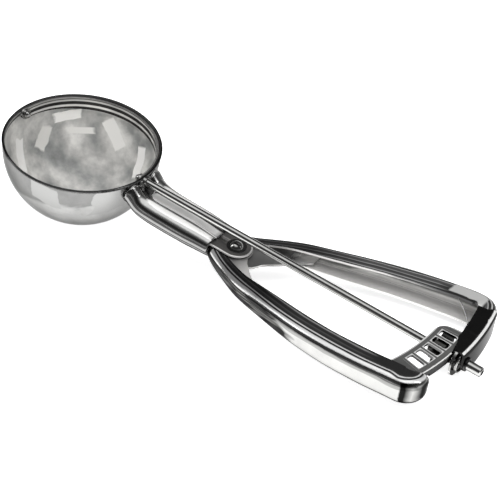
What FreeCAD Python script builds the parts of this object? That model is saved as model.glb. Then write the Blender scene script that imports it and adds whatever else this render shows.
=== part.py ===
# Spring-return portion scoop with a squeeze handle.
# Built in the tool's own frame: X along the drive shaft towards the handles,
# Z out of the mouth of the bowl, origin at the centre of the bowl's sphere,
# which is a point of the shaft axis. At the end everything is turned and
# lifted into the pose in which the tool lies on a table (z = 0).
import FreeCAD, Part
import math
import os

os.makedirs("parts", exist_ok=True)
V = FreeCAD.Vector

# ---------------------------------------------------------------- dimensions
BOWL_R = 29.9            # outside radius of the bowl
BOWL_T = 0.8             # wall of the bowl
RIM_Z = 2.15             # rim above the shaft axis
RIM_BEAD = 0.55          # radius of the rolled rim
SHAFT_R = 1.5            # drive shaft, 3 mm stock
SHAFT_RUN = 0.1          # radial running clearance of the shaft
SHAFT_END = 171.65       # shoulder that carries the end collar
TOOL_END = 177.2         # outer end of the collar
BLADE_R = 28.8           # outside radius of the scraper blade
BLADE_T = 0.6
BLADE_W = 5.2
BLADE_EYE = 2.1          # radius of the blade's round ends
BLADE_REST = 2.5         # degrees the resting blade lies below the mouth plane
PIVOT_X = 73.4           # axis of the lever, parallel to Z
RACK_R = 87.4            # radius of the ladder's slots about the lever axis
RACK_PITCH = 3.0618      # degrees between slots
TEETH = 6
TIP_R = 5.75
ROOT_R = 3.2
RACK_Z = (4.0, 5.0)      # underside and top of the ladder plate
GUIDE_Z = (5.3, 6.1)     # underside and top of the guide plate
GUIDE_R = 97.5           # outside radius of the guide's wall
NECK_T = 0.9
TAB_R = 5.6              # rounded tab of the neck that carries the lever rivet
HANDLE_T = 0.9
WIRE_R = 0.22            # return spring wire
COIL_R = 4.2             # mean radius of the spring's coil
EAR_R = 6.0              # round ear that carries the shaft near the handles
EAR_X = (167.1, 168.0)

# outline of a handle: x, outer y (fixed side), extra y of the moving side,
# depth of the channel, height of its middle, height of the channel
HANDLE = [
    (66.6, 6.8, 1.3, 4.7, -8.05, 4.7),
    (70.0, 8.3, 2.0, 5.1, -8.45, 5.0),
    (74.0, 10.2, 2.1, 5.6, -8.70, 5.5),
    (80.0, 13.5, 1.9, 6.0, -8.35, 6.2),
    (86.0, 16.5, 1.8, 6.4, -7.75, 6.9),
    (92.0, 18.8, 1.5, 6.9, -7.05, 7.5),
    (100.0, 21.1, 1.3, 7.5, -6.30, 8.1),
    (108.0, 23.3, 1.1, 7.9, -5.60, 8.7),
    (116.0, 25.4, 0.9, 8.2, -4.75, 9.15),
    (124.0, 27.1, 0.65, 8.2, -3.78, 9.6),
    (132.0, 28.45, 0.4, 8.2, -2.76, 10.0),
    (140.0, 29.4, 0.1, 8.2, -1.70, 10.3),
    (148.0, 30.1, -0.15, 8.2, -0.60, 10.5),
    (154.0, 30.45, -0.35, 8.2, 0.30, 10.6),
]
END_C = (158.6, 22.1)    # centre of the rounded end, seen from above
# angle round the end, outer radius, radius of the lips' edge, middle, height
HANDLE_END = [
    (0, 8.4, 0.3, 0.82, 10.7),
    (25, 8.75, 0.7, 0.98, 10.65),
    (50, 9.1, 1.3, 1.05, 10.5),
    (75, 9.3, 2.1, 1.06, 10.2),
    (92, 9.15, 2.9, 1.00, 9.8),
    (105, 8.9, 3.6, 0.90, 9.3),
]


def save(shape, name):
    parts[name] = shape


parts = {}


def cyl(r, x0, x1, y=0.0, z=0.0):
    return Part.makeCylinder(r, x1 - x0, V(x0, y, z), V(1, 0, 0))


def ring(ro, ri, x0, x1):
    return cyl(ro, x0, x1).cut(cyl(ri, x0 - 1, x1 + 1))


def zcyl(r, z0, z1, x=PIVOT_X, y=0.0):
    return Part.makeCylinder(r, z1 - z0, V(x, y, z0), V(0, 0, 1))


def sector(r0, r1, a0, a1, z0, z1):
    """Ring sector about the lever axis between two angles from +X."""
    s = zcyl(r1, z0, z1).cut(zcyl(r0, z0 - 1, z1 + 1))
    pts = [V(PIVOT_X, 0, z0 - 1)]
    n = 6
    for i in range(n + 1):
        a = math.radians(a0 + (a1 - a0) * i / n)
        pts.append(V(PIVOT_X + 2 * r1 * math.cos(a), 2 * r1 * math.sin(a), z0 - 1))
    pts.append(pts[0])
    wedge = Part.Face(Part.makePolygon(pts)).extrude(V(0, 0, z1 - z0 + 2))
    return s.common(wedge)


def largest(shape):
    return max(shape.Solids, key=lambda s: s.Volume)


# ---------------------------------------------------------------------- bowl
def arc3(a, b, c):
    return Part.Arc(a, b, c).toShape()


s45 = math.sin(math.pi / 4)
ri = BOWL_R - BOWL_T
bead_z = RIM_Z - RIM_BEAD
bead_c = ri + RIM_BEAD
profile = Part.Wire([
    arc3(V(0, 0, -BOWL_R), V(BOWL_R * s45, 0, -BOWL_R * s45), V(BOWL_R, 0, 0)),
    Part.makeLine(V(BOWL_R, 0, 0), V(BOWL_R, 0, bead_z - 0.55)),
    Part.makeLine(V(BOWL_R, 0, bead_z - 0.55), V(bead_c + RIM_BEAD, 0, bead_z)),
    arc3(V(bead_c + RIM_BEAD, 0, bead_z), V(bead_c, 0, RIM_Z), V(ri, 0, bead_z)),
    Part.makeLine(V(ri, 0, bead_z), V(ri, 0, 0)),
    arc3(V(ri, 0, 0), V(ri * s45, 0, -ri * s45), V(0, 0, -ri)),
    Part.makeLine(V(0, 0, -ri), V(0, 0, -BOWL_R)),
])
half_section = Part.Face(profile)
half_section.rotate(V(0, 0, 0), V(0, 0, 1), 90)          # seam away from the two holes
bowl = half_section.revolve(V(0, 0, 0), V(0, 0, 1), 360)
bowl = bowl.cut(cyl(SHAFT_R + SHAFT_RUN, 25, 35))      # shaft passes the wall
bowl = bowl.cut(cyl(1.0, -35, -25))                     # pin of the blade
save(bowl, "bowl")

# ------------------------------------------------------------- scraper blade
a = math.radians(BLADE_REST)
shell = Part.makeSphere(BLADE_R).cut(Part.makeSphere(BLADE_R - BLADE_T))
slab = Part.makeBox(80, 40, BLADE_W, V(-40, 0, -BLADE_W / 2))
slab.rotate(V(0, 0, 0), V(1, 0, 0), -BLADE_REST)
band = shell.common(slab).common(Part.makeBox(80, 40, 40, V(-40, 0, -38.2)))
ends = shell.common(cyl(BLADE_EYE, -40, 40))
blade = band.fuse(ends).removeSplitter()
blade = blade.cut(cyl(1.0, 20, 40)).cut(cyl(1.08, -40, -20))
save(blade, "scraper_blade")

# fixing of the blade on the shaft: washer under the peened end
save(ring(2.0, 1.0, BLADE_R - BLADE_T - 0.6, BLADE_R - BLADE_T - 0.1), "blade_drive_washer")

# pin at the far side: shank, domed head outside, peened head inside
pin = cyl(1.0, -(BLADE_R + 2.0), -(BLADE_R - BLADE_T) + 1.35)
dome = Part.makeSphere(1.75, V(-BOWL_R + 0.55, 0, 0)).common(
    Part.makeBox(3, 6, 6, V(-BOWL_R - 3.02, -3, -3)))
peen = Part.makeSphere(1.5, V(-(BLADE_R - BLADE_T) + 0.95, 0, 0)).common(
    Part.makeBox(2.0, 6, 6, V(-(BLADE_R - BLADE_T) + 0.85, -3, -3)))
pin = largest(pin.fuse(dome).fuse(peen).removeSplitter().cut(bowl))
save(pin, "blade_pivot_pin")
save(cyl(2.1, -(BLADE_R - BLADE_T) + 0.3, -(BLADE_R - BLADE_T) + 0.85).cut(
    cyl(1.0, -40, -20)), "blade_pivot_washer")

# --------------------------------------------------------------- drive shaft
shaft = cyl(SHAFT_R, BLADE_R, SHAFT_END)
shaft = shaft.fuse(cyl(1.0, BLADE_R - 2.0, BLADE_R + 1))
shaft = shaft.fuse(cyl(1.0, SHAFT_END - 1, TOOL_END - 0.9))
x_w = BLADE_R - BLADE_T - 0.6
peen = Part.makeSphere(1.55, V(x_w - 0.1, 0, 0)).common(
    Part.makeBox(2.0, 6, 6, V(x_w - 2.0, -3, -3)))
shaft = shaft.fuse(peen).removeSplitter()
shaft = shaft.cut(Part.makeCylinder(WIRE_R + 0.03, 8, V(169.37, 0, -4), V(0, 0, 1)))
save(shaft, "drive_shaft")

# short bush between the bowl's wall and the neck
bush = ring(2.05, SHAFT_R + 0.05, BOWL_R - 0.02, 31.3)
bush = largest(bush.cut(Part.makeSphere(BOWL_R)).cut(bowl))
save(bush, "shaft_bush")

# end of the shaft: washer and staked collar
save(ring(2.6, SHAFT_R + 0.05, GUIDE_R + PIVOT_X + 0.08, SHAFT_END - 0.12), "shaft_end_washer")
collar = ring(1.85, 1.0, SHAFT_END, TOOL_END)
ch = Part.makeCone(1.85, 1.45, 0.4, V(TOOL_END - 0.4, 0, 0), V(1, 0, 0))
collar = collar.common(cyl(1.85, SHAFT_END, TOOL_END - 0.4).fuse(ch))
save(collar, "shaft_end_collar")

# -------------------------------------------------------------------- pinion
def tooth_poly():
    """One tooth pointing to +Z in the YZ plane."""
    half = [(0.0, 0), (1.45, 2.4), (1.35, 3.6), (1.2, 4.4), (0.88, 5.2), (0.45, TIP_R)]
    pts = [V(0, -y, z) for y, z in half[1:]] + [V(0, y, z) for y, z in reversed(half[1:])]
    return pts


phase = 1.5 * 360.0 / TEETH / RACK_PITCH      # the tooth that stands in the last slot
TOOTH_X = (158.75, 163.05)
gear = cyl(ROOT_R, TOOTH_X[0], TOOTH_X[1])
for k in range(TEETH):
    pts = tooth_poly()
    f = Part.Face(Part.makePolygon([V(TOOTH_X[0], p.y, p.z) for p in pts + [pts[0]]]))
    t = f.extrude(V(TOOTH_X[1] - TOOTH_X[0], 0, 0))
    # towards +Y is a negative turn about X
    t.rotate(V(0, 0, 0), V(1, 0, 0), -(phase + k * 360.0 / TEETH))
    gear = gear.fuse(t)
gear = gear.fuse(cyl(2.7, 156.6, 165.2)).removeSplitter()
gear = gear.cut(cyl(SHAFT_R, 150, 170))
save(gear, "pinion")

# ------------------------------------------------------------- handle shells
def c_section(base, out, r_in, r_out, zm, h, rc, t):
    """Closed wire of a channel section, open towards the shaft.
    base: point in plan, out: unit vector in plan, radii measured along it."""
    zt, zb = zm + h / 2, zm - h / 2
    rc = min(rc, (r_out - r_in) - 0.2, h / 2 - 0.15)
    rn = rc - t
    k = math.sqrt(0.5)

    def p(r, z):
        return V(base[0] + out[0] * r, base[1] + out[1] * r, z)
    co, cz = r_out - rc, zt - rc
    cb = zb + rc
    e = [
        Part.makeLine(p(r_in, zt), p(co, zt)),
        arc3(p(co, zt), p(co + rc * k, cz + rc * k), p(r_out, cz)),
        Part.makeLine(p(r_out, cz), p(r_out, cb)),
        arc3(p(r_out, cb), p(co + rc * k, cb - rc * k), p(co, zb)),
        Part.makeLine(p(co, zb), p(r_in, zb)),
        Part.makeLine(p(r_in, zb), p(r_in, zb + t)),
        Part.makeLine(p(r_in, zb + t), p(co, zb + t)),
        arc3(p(co, zb + t), p(co + rn * k, cb - rn * k), p(r_out - t, cb)),
        Part.makeLine(p(r_out - t, cb), p(r_out - t, cz)),
        arc3(p(r_out - t, cz), p(co + rn * k, cz + rn * k), p(co, zt - t)),
        Part.makeLine(p(co, zt - t), p(r_in, zt - t)),
        Part.makeLine(p(r_in, zt - t), p(r_in, zt)),
    ]
    return Part.Wire(e)


def handle_shell(side):
    """side +1: fixed handle, -1: moving handle."""
    wires = []
    for x, yo, extra, depth, zm, h in HANDLE:
        y = yo + (extra if side < 0 else 0.0)
        rc = min(2.8, h * 0.42)
        wires.append(c_section((x, 0), (0, side), y - depth, y, zm, h, rc, HANDLE_T))
    for ang, ro, r_lip, zm, h in HANDLE_END:
        b = math.radians(ang)
        out = (math.sin(b), side * math.cos(b))
        shift = -0.35 if side < 0 else 0.0
        wires.append(c_section((END_C[0], side * (END_C[1] + shift)), out, r_lip, ro,
                               zm, h, 2.9, HANDLE_T))
    return Part.makeLoft(wires, True, False)


def outer_edge(side, x):
    y = None
    for p, q in zip(HANDLE, HANDLE[1:]):
        if p[0] <= x <= q[0]:
            f = (x - p[0]) / (q[0] - p[0])
            y = p[1] + f * (q[1] - p[1])
            if side < 0:
                y += p[2] + f * (q[2] - p[2])
    return y


def root_plate(side, z0, z1, boss, crotch, inset):
    """Flat root that joins a handle to the lever axis."""
    pts = [V(x, side * (outer_edge(side, x) - inset), z0)
           for x in (67.0, 69.5, 73.0, 78.0, 83.0, 88.0, 93.0, 98.0)]
    inner = [V(x, side * y, z0) for x, y in crotch]
    start = V(PIVOT_X - boss * 0.97, side * boss * 0.25, z0)
    loop = [start] + pts + inner + [V(PIVOT_X, 0, z0), start]
    plate = Part.Face(Part.makePolygon(loop)).extrude(V(0, 0, z1 - z0))
    return plate.fuse(zcyl(boss, z0, z1)).removeSplitter()


moving = handle_shell(-1)
fixed = handle_shell(+1)
mplate = root_plate(-1, -7.8, -6.97, 6.3, [
    (98.0, 15.6), (94.5, 14.1), (91.0, 12.0), (88.0, 9.9), (86.0, 8.2), (84.1, 6.5), (82.6, 5.1), (81.2, 3.8),
    (80.3, 2.4), (79.4, 0.9)], 0.6)
fplate = root_plate(+1, -8.9, -8.0, 6.3, [
    (98.0, 14.6), (95.0, 12.2), (92.0, 8.6), (90.0, 5.9), (88.0, 3.9), (86.2, 2.2), (84.7, 0.4), (83.8, -1.6),
    (83.0, -3.2), (81.4, -4.4), (79.0, -4.6), (76.0, -5.2)], 0.6)
# room in the channels for the neck's tab, the other root and the lower washer
CLEAR = 6.75
room = zcyl(CLEAR, -14, 0).fuse(Part.makeBox(PIVOT_X - 60, 2 * CLEAR, 14, V(60, -CLEAR, -14)))
moving = largest(moving.cut(room))
fixed = largest(fixed.cut(room))
moving = moving.fuse(mplate).removeSplitter().cut(zcyl(2.06, -20, 0))
fixed = fixed.fuse(fplate).removeSplitter().cut(zcyl(2.0, -20, 0))

# ------------------------------------------------------------------ the rack
lo, hi = RACK_Z


def bent(profile, a0, a1):
    """Sheet section (radius about the lever axis, z) swept between two angles.
    A point with a third value is the middle of an arc."""
    e, last, mid = [], None, None
    for q in profile + [profile[0]]:
        p = V(PIVOT_X + q[0], 0, q[1])
        if len(q) == 3:
            mid = p
            continue
        if last is not None:
            e.append(arc3(last, mid, p) if mid is not None else Part.makeLine(last, p))
        last, mid = p, None
    f = Part.Face(Part.Wire(e))
    f.rotate(V(PIVOT_X, 0, 0), V(0, 0, 1), a0)
    return f.revolve(V(PIVOT_X, 0, 0), V(0, 0, 1), a1 - a0)


k45 = math.sqrt(0.5)
rack = sector(82.0, 92.6, -19.2, 4.9, lo, hi)
rack = rack.fuse(bent([(91.0, hi), (92.2, hi), (92.2 + 1.1 * k45, hi - 1.1 + 1.1 * k45, 1), (93.3, hi - 1.1), (93.3, 1.8),
                       (92.3, 1.8), (92.3, lo - 0.1), (92.2, lo), (91.0, lo)], -16.5, -2.4)).removeSplitter()


def corner_cut(shape, r_edge, a_end, radius, inner):
    """Round the free end of the ladder, seen from above."""
    a_c = a_end - math.degrees(radius / r_edge)
    rc_ = r_edge + radius if inner else r_edge - radius
    c = (PIVOT_X + rc_ * math.cos(math.radians(a_c)), rc_ * math.sin(math.radians(a_c)))
    keep = zcyl(radius, -2, 8, c[0], c[1])
    r0, r1 = (r_edge - 1, rc_) if inner else (rc_, r_edge + 1)
    block = sector(r0, r1, a_c, a_end + 1, -2, 8)
    return shape.cut(block.cut(keep))


rack = corner_cut(rack, 82.0, 4.9, 5.0, True)
rack = corner_cut(rack, 92.6, 4.9, 2.5, False)
for k in range(5):
    c = 1.5 - k * RACK_PITCH
    half = math.degrees(1.6 / RACK_R)
    slot = sector(RACK_R - 3.1, RACK_R + 3.1, c - half, c + half, lo - 1, hi + 1)
    edges = [e for e in slot.Edges if abs(e.tangentAt(e.FirstParameter).z) > 0.99]
    slot = slot.makeFillet(0.95, edges)
    rack = rack.cut(slot)
# the plate ends against the inside of the moving handle's wall
pts = []
for i in range(0, 41):
    x = 140 + i * (158.6 - 140) / 20.0 if i <= 20 else None
    if x is None:
        break
    if x <= 154:
        y = outer_edge(-1, x)
    else:
        f = (x - 154.0) / 4.6
        y = 30.10 + f * (30.15 - 30.10)
    pts.append(V(x, -(y - HANDLE_T), lo - 1))
cx, cy = END_C[0], -(END_C[1] - 0.35)
for ang in range(5, 60, 5):
    b = math.radians(ang)
    ro = 8.4 + (9.1 - 8.4) * min(ang, 50) / 50.0
    pts.append(V(cx + (ro - HANDLE_T) * math.sin(b), cy - (ro - HANDLE_T) * math.cos(b), lo - 1))
pts = [V(140, 20, lo - 1)] + pts + [V(pts[-1].x + 12, pts[-1].y + 8, lo - 1), V(200, 20, lo - 1)]
keep = Part.Face(Part.makePolygon(pts + [pts[0]])).extrude(V(0, 0, 3.0))
plate_part = rack.common(keep.fuse(Part.makeBox(140, 60, 10, V(60, -16, -2))))
rack = largest(plate_part.cut(moving))
save(rack, "rack_plate")

# ----------------------------------------------------------- the guide plate
g0, g1 = GUIDE_Z
BEND = 1.9               # outside radius of the guide's bend
w_in = GUIDE_R - 0.9
guide = bent([(90.4, g0), (90.4, g1), (GUIDE_R - BEND, g1), (GUIDE_R - BEND + BEND * k45, g1 - BEND + BEND * k45, 1),
              (GUIDE_R, g1 - BEND), (GUIDE_R, -4.8), (w_in, -4.8), (w_in, g1 - BEND),
              (w_in - (BEND - 0.9) * (1 - k45), g0 - (BEND - 0.8) * (1 - k45), 1), (w_in - 1.0, g0)], -1.7, 14.7)
# the wall gets lower towards the shaft and ends round it
low = [V(150, -10, -8), V(150, -10, 0.5), V(150, -2.9, 0.5), V(150, -2.4, -1.4), V(150, -1.2, -2.5),
       V(150, 0.6, -2.7), V(150, 3.6, -3.1), V(150, 8.4, -4.8), V(150, 8.4, -8)]
guide = guide.cut(Part.Face(Part.makePolygon(low + [low[0]])).extrude(V(40, 0, 0)))
# slanted inner edge of the plate with two small steps
edge_pts = [(166.1, -4.0), (165.9, -2.0), (165.3, 0.6), (164.4, 3.2), (164.0, 3.6), (163.9, 6.2),
            (163.3, 9.6), (162.9, 10.0), (162.2, 15.0), (161.0, 20.2), (159.3, 26.0), (158.0, 30.0),
            (140, 30), (140, -4)]
cutp = Part.Face(Part.makePolygon([V(x, y, g0 - 1) for x, y in edge_pts + [edge_pts[0]]]))
guide = guide.cut(cutp.extrude(V(0, 0, 4)))
guide = guide.cut(cyl(SHAFT_R + SHAFT_RUN, 165, 175))
# outside of the fixed handle as a full body, to butt the guide against it
def solid_section(base, out, r_in, r_out, zm, h, rc):
    zt, zb = zm + h / 2, zm - h / 2
    k = math.sqrt(0.5)

    def p(r, z):
        return V(base[0] + out[0] * r, base[1] + out[1] * r, z)
    co, cz, cb = r_out - rc, zt - rc, zb + rc
    return Part.Wire([
        Part.makeLine(p(r_in, zt), p(co, zt)),
        arc3(p(co, zt), p(co + rc * k, cz + rc * k), p(r_out, cz)),
        Part.makeLine(p(r_out, cz), p(r_out, cb)),
        arc3(p(r_out, cb), p(co + rc * k, cb - rc * k), p(co, zb)),
        Part.makeLine(p(co, zb), p(r_in, zb)),
        Part.makeLine(p(r_in, zb), p(r_in, zt)),
    ])


full = []
for x, yo, extra, depth, zm, h in HANDLE[-3:]:
    full.append(solid_section((x, 0), (0, 1), yo - depth, yo, zm, h, 2.8))
for ang, ro, r_lip, zm, h in HANDLE_END:
    b = math.radians(ang)
    full.append(solid_section(END_C, (math.sin(b), math.cos(b)), r_lip, ro, zm, h, 2.9))
full = Part.makeLoft(full, True, False)
guide = largest(guide.cut(full))
save(guide, "guide_plate")
save(moving, "moving_handle")
save(fixed, "fixed_handle")

# inner bearing of the shaft: a round ear hanging from the guide plate
ear = cyl(EAR_R, EAR_X[0], EAR_X[1])
ear = ear.common(Part.makeBox(10, 20, 20, V(160, -10, g0 - 20)))
ear = ear.cut(cyl(SHAFT_R + SHAFT_RUN, 160, 175))
save(ear, "shaft_bracket")

# ---------------------------------------------------------------------- neck
def neck_wire(x, zf, zr, half, drop):
    """Section of the pressed neck: a flat floor between two rolled sides."""
    r = drop / 2.0
    yc, zc = half - r, zr - r
    a0, a1 = math.radians(118.0), math.radians(-155.0)
    am = (a0 + a1) / 2.0
    t = NECK_T
    yf = yc + r * math.cos(a0) - 0.8

    def on(sd, rr, ang):
        return V(x, sd * (yc + rr * math.cos(ang)), zc + rr * math.sin(ang))

    def fl(sd, z):
        return V(x, sd * yf, z)
    return Part.Wire([
        Part.makeLine(fl(-1, zf), fl(1, zf)),
        Part.makeLine(fl(1, zf), on(1, r, a0)),
        arc3(on(1, r, a0), on(1, r, am), on(1, r, a1)),
        Part.makeLine(on(1, r, a1), on(1, r - t, a1)),
        arc3(on(1, r - t, a1), on(1, r - t, am), on(1, r - t, a0)),
        Part.makeLine(on(1, r - t, a0), fl(1, zf - t)),
        Part.makeLine(fl(1, zf - t), fl(-1, zf - t)),
        Part.makeLine(fl(-1, zf - t), on(-1, r - t, a0)),
        arc3(on(-1, r - t, a0), on(-1, r - t, am), on(-1, r - t, a1)),
        Part.makeLine(on(-1, r - t, a1), on(-1, r, a1)),
        arc3(on(-1, r, a1), on(-1, r, am), on(-1, r, a0)),
        Part.makeLine(on(-1, r, a0), fl(-1, zf)),
    ])


NECK = [  # x, floor, ridge, half width, height of the sides
    (26.0, 0.30, 0.50, 9.3, 6.0),
    (29.0, 0.10, 0.45, 9.1, 6.0),
    (31.0, -1.70, -0.90, 8.7, 6.05),
    (33.2, -3.30, -2.60, 8.3, 6.1),
    (36.0, -4.30, -3.80, 8.1, 6.15),
    (40.0, -4.80, -4.40, 8.0, 6.2),
    (47.0, -4.85, -4.50, 7.9, 6.2),
    (55.0, -4.90, -4.55, 7.7, 6.1),
    (61.0, -5.30, -4.70, 7.5, 5.9),
    (65.8, -6.00, -5.05, 7.4, 5.6),
]
neck = Part.makeLoft([neck_wire(*st) for st in NECK], True, True)
print("neck loft", neck.isValid(), len(neck.Faces))
tab = Part.makeBox(PIVOT_X - 62.0, 2 * TAB_R, 0.9, V(62.0, -TAB_R, -6.5))
tab = tab.fuse(zcyl(TAB_R, -6.5, -5.6)).removeSplitter()
# rolled edge of the tab
roll = Part.makeTorus(TAB_R, 0.5, V(PIVOT_X, 0, -6.0), V(0, 0, 1), -180, 180, 180)
roll.rotate(V(PIVOT_X, 0, 0), V(0, 0, 1), -90)
for sd in (-1, 1):
    roll = roll.fuse(cyl(0.5, 64.5, PIVOT_X, sd * TAB_R, -6.0))
tab = tab.fuse(roll)
print("tab", tab.isValid())
neck = neck.fuse(tab)
print("neck+tab", neck.isValid())
outer = Part.makeSphere(BOWL_R).fuse(Part.makeCylinder(BOWL_R, 20, V(0, 0, 0), V(0, 0, 1)))
neck = neck.cut(outer)
neck = neck.cut(Part.makeBox(80, 60, 20, V(-10, -30, 1.0)))
neck = neck.cut(cyl(2.05, 20, 45))
neck = neck.cut(zcyl(2.0, -20, 0))
save(largest(neck), "neck_channel")

# --------------------------------------------------------------- lever rivet
rivet = zcyl(2.0, -10.2, -5.3)
head = Part.makeSphere(2.95, V(PIVOT_X, 0, -6.65)).common(zcyl(2.75, -5.3, -3.6))
base = zcyl(3.1, -10.2, -9.3)
rivet = rivet.fuse(head).fuse(base).removeSplitter()
save(rivet, "pivot_rivet")
save(zcyl(3.7, -5.6, -5.3).cut(zcyl(2.0, -20, 0)), "pivot_head_washer")
save(zcyl(4.3, -9.3, -8.9).cut(zcyl(2.0, -20, 0)), "pivot_lower_washer")

# ------------------------------------------------------------- return spring
# three close turns, a leg through the cross hole of the shaft and an arm made
# of straight runs to the hook in the fixed handle
X_LEG = 169.37
spring = Part.makeTorus(COIL_R, WIRE_R, V(X_LEG, 0, 0), V(1, 0, 0))
for k in (1, 2):
    spring = spring.fuse(Part.makeTorus(COIL_R, WIRE_R, V(X_LEG - 0.41 * k, 0, 0), V(1, 0, 0)))
spring = spring.fuse(Part.makeCylinder(WIRE_R, 2.4 + COIL_R, V(X_LEG, 0, -2.4), V(0, 0, 1)))
ARM = [V(X_LEG - 0.82, COIL_R * math.cos(-0.35), COIL_R * math.sin(-0.35)), V(168.5, 7.1, -1.5),
       V(166.4, 9.6, -0.6), V(163.4, 14.5, 0.9), V(158.0, 20.0, 2.4), V(150.8, 24.6, 4.0), V(149.2, 25.6, 3.6)]
for p, q in zip(ARM, ARM[1:]):
    spring = spring.fuse(Part.makeCylinder(WIRE_R, (q - p).Length, p, q - p))
    spring = spring.fuse(Part.makeSphere(WIRE_R * 1.05, q))
save(spring, "return_spring")

# -------------------------------------------------------- pose on the table
# the bowl touches the table below its centre and the round ear touches it near
# the handles' ends
d = math.hypot(EAR_X[1], EAR_R)
TILT = math.degrees(math.asin(BOWL_R / d) - math.atan2(EAR_R, EAR_X[1]))
posed, lo_, hi_ = {}, [1e9] * 3, [-1e9] * 3
for name, shape in parts.items():
    s = shape.copy()
    s.rotate(V(0, 0, 0), V(0, 1, 0), TILT)
    s.translate(V(0, 0, BOWL_R))
    posed[name] = s
    for p in s.tessellate(0.03)[0]:
        for i, c in enumerate((p.x, p.y, p.z)):
            lo_[i], hi_[i] = min(lo_[i], c), max(hi_[i], c)
# origin: on the table, below the middle of the whole tool
SHIFT = V(-(lo_[0] + hi_[0]) / 2, -(lo_[1] + hi_[1]) / 2, -lo_[2])
print("tilt %.4f shift %.4f %.4f %.4f bounds %s %s" % (TILT, SHIFT.x, SHIFT.y, SHIFT.z, lo_, hi_))

for name, s in posed.items():
    s.translate(SHIFT)
    bb = s.BoundBox
    print("%-20s solids %d valid %s vol %8.2f  x %.2f..%.2f y %.2f..%.2f z %.2f..%.2f" % (
        name, len(s.Solids), s.isValid(), s.Volume, bb.XMin, bb.XMax, bb.YMin, bb.YMax, bb.ZMin, bb.ZMax))
    s.exportStep("parts/%s.step" % name)
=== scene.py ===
import bpy
import bmesh
import math
from mathutils import Vector, Matrix


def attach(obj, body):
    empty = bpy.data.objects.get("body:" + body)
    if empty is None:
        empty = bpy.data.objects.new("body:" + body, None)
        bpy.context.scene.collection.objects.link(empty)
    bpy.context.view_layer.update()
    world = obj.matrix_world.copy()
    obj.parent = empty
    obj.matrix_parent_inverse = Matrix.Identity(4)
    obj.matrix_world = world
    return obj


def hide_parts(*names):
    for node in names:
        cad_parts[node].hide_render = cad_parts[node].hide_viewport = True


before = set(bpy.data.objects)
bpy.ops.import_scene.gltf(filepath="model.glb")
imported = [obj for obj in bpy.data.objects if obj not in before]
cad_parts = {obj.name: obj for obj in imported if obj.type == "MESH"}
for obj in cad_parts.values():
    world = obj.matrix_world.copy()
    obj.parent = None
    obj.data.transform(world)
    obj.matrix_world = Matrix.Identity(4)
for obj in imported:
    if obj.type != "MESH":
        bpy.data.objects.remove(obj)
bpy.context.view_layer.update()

scene = bpy.context.scene

# ------------------------------------------------------------- tool frame
# x along the shaft from the bowl's centre, z out of the bowl's mouth, mm
TILT = math.radians(8.1999)
CT, ST = math.cos(TILT), math.sin(TILT)


def T(x, y, z):
    return Vector(((x * CT + z * ST - 72.3983) / 1000.0, (y - 0.1683) / 1000.0,
                   (-x * ST + z * CT + 29.8998) / 1000.0))


# ------------------------------------------------------------------ camera
cam_data = bpy.data.cameras.new("camera")
cam = bpy.data.objects.new("camera", cam_data)
scene.collection.objects.link(cam)
R = Vector((0.81200351, 0.58357102, 0.00975573))
U = Vector((-0.34481918, 0.46617484, 0.81472741))
B = Vector((0.47090343, -0.66492547, 0.57976209))
cam.matrix_world = Matrix((
    (R.x, U.x, B.x, 0.33908856), (R.y, U.y, B.y, -0.47130674),
    (R.z, U.z, B.z, 0.42556286), (0, 0, 0, 1)))
cam_data.lens = 141.1886
cam_data.sensor_width = 36.0
cam_data.clip_start = 0.01
cam_data.clip_end = 20.0
scene.camera = cam


# --------------------------------------------------------------- materials
def nodes_of(m):
    m.use_nodes = True
    nt = m.node_tree
    return nt, nt.nodes["Principled BSDF"]


def ramp(nt, pts):
    r = nt.nodes.new("ShaderNodeValToRGB")
    e = r.color_ramp.elements
    while len(e) < len(pts):
        e.new(0.5)
    for i, (p, c) in enumerate(pts):
        e[i].position = p
        e[i].color = (c[0], c[1], c[2], 1.0)
    return r


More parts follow.
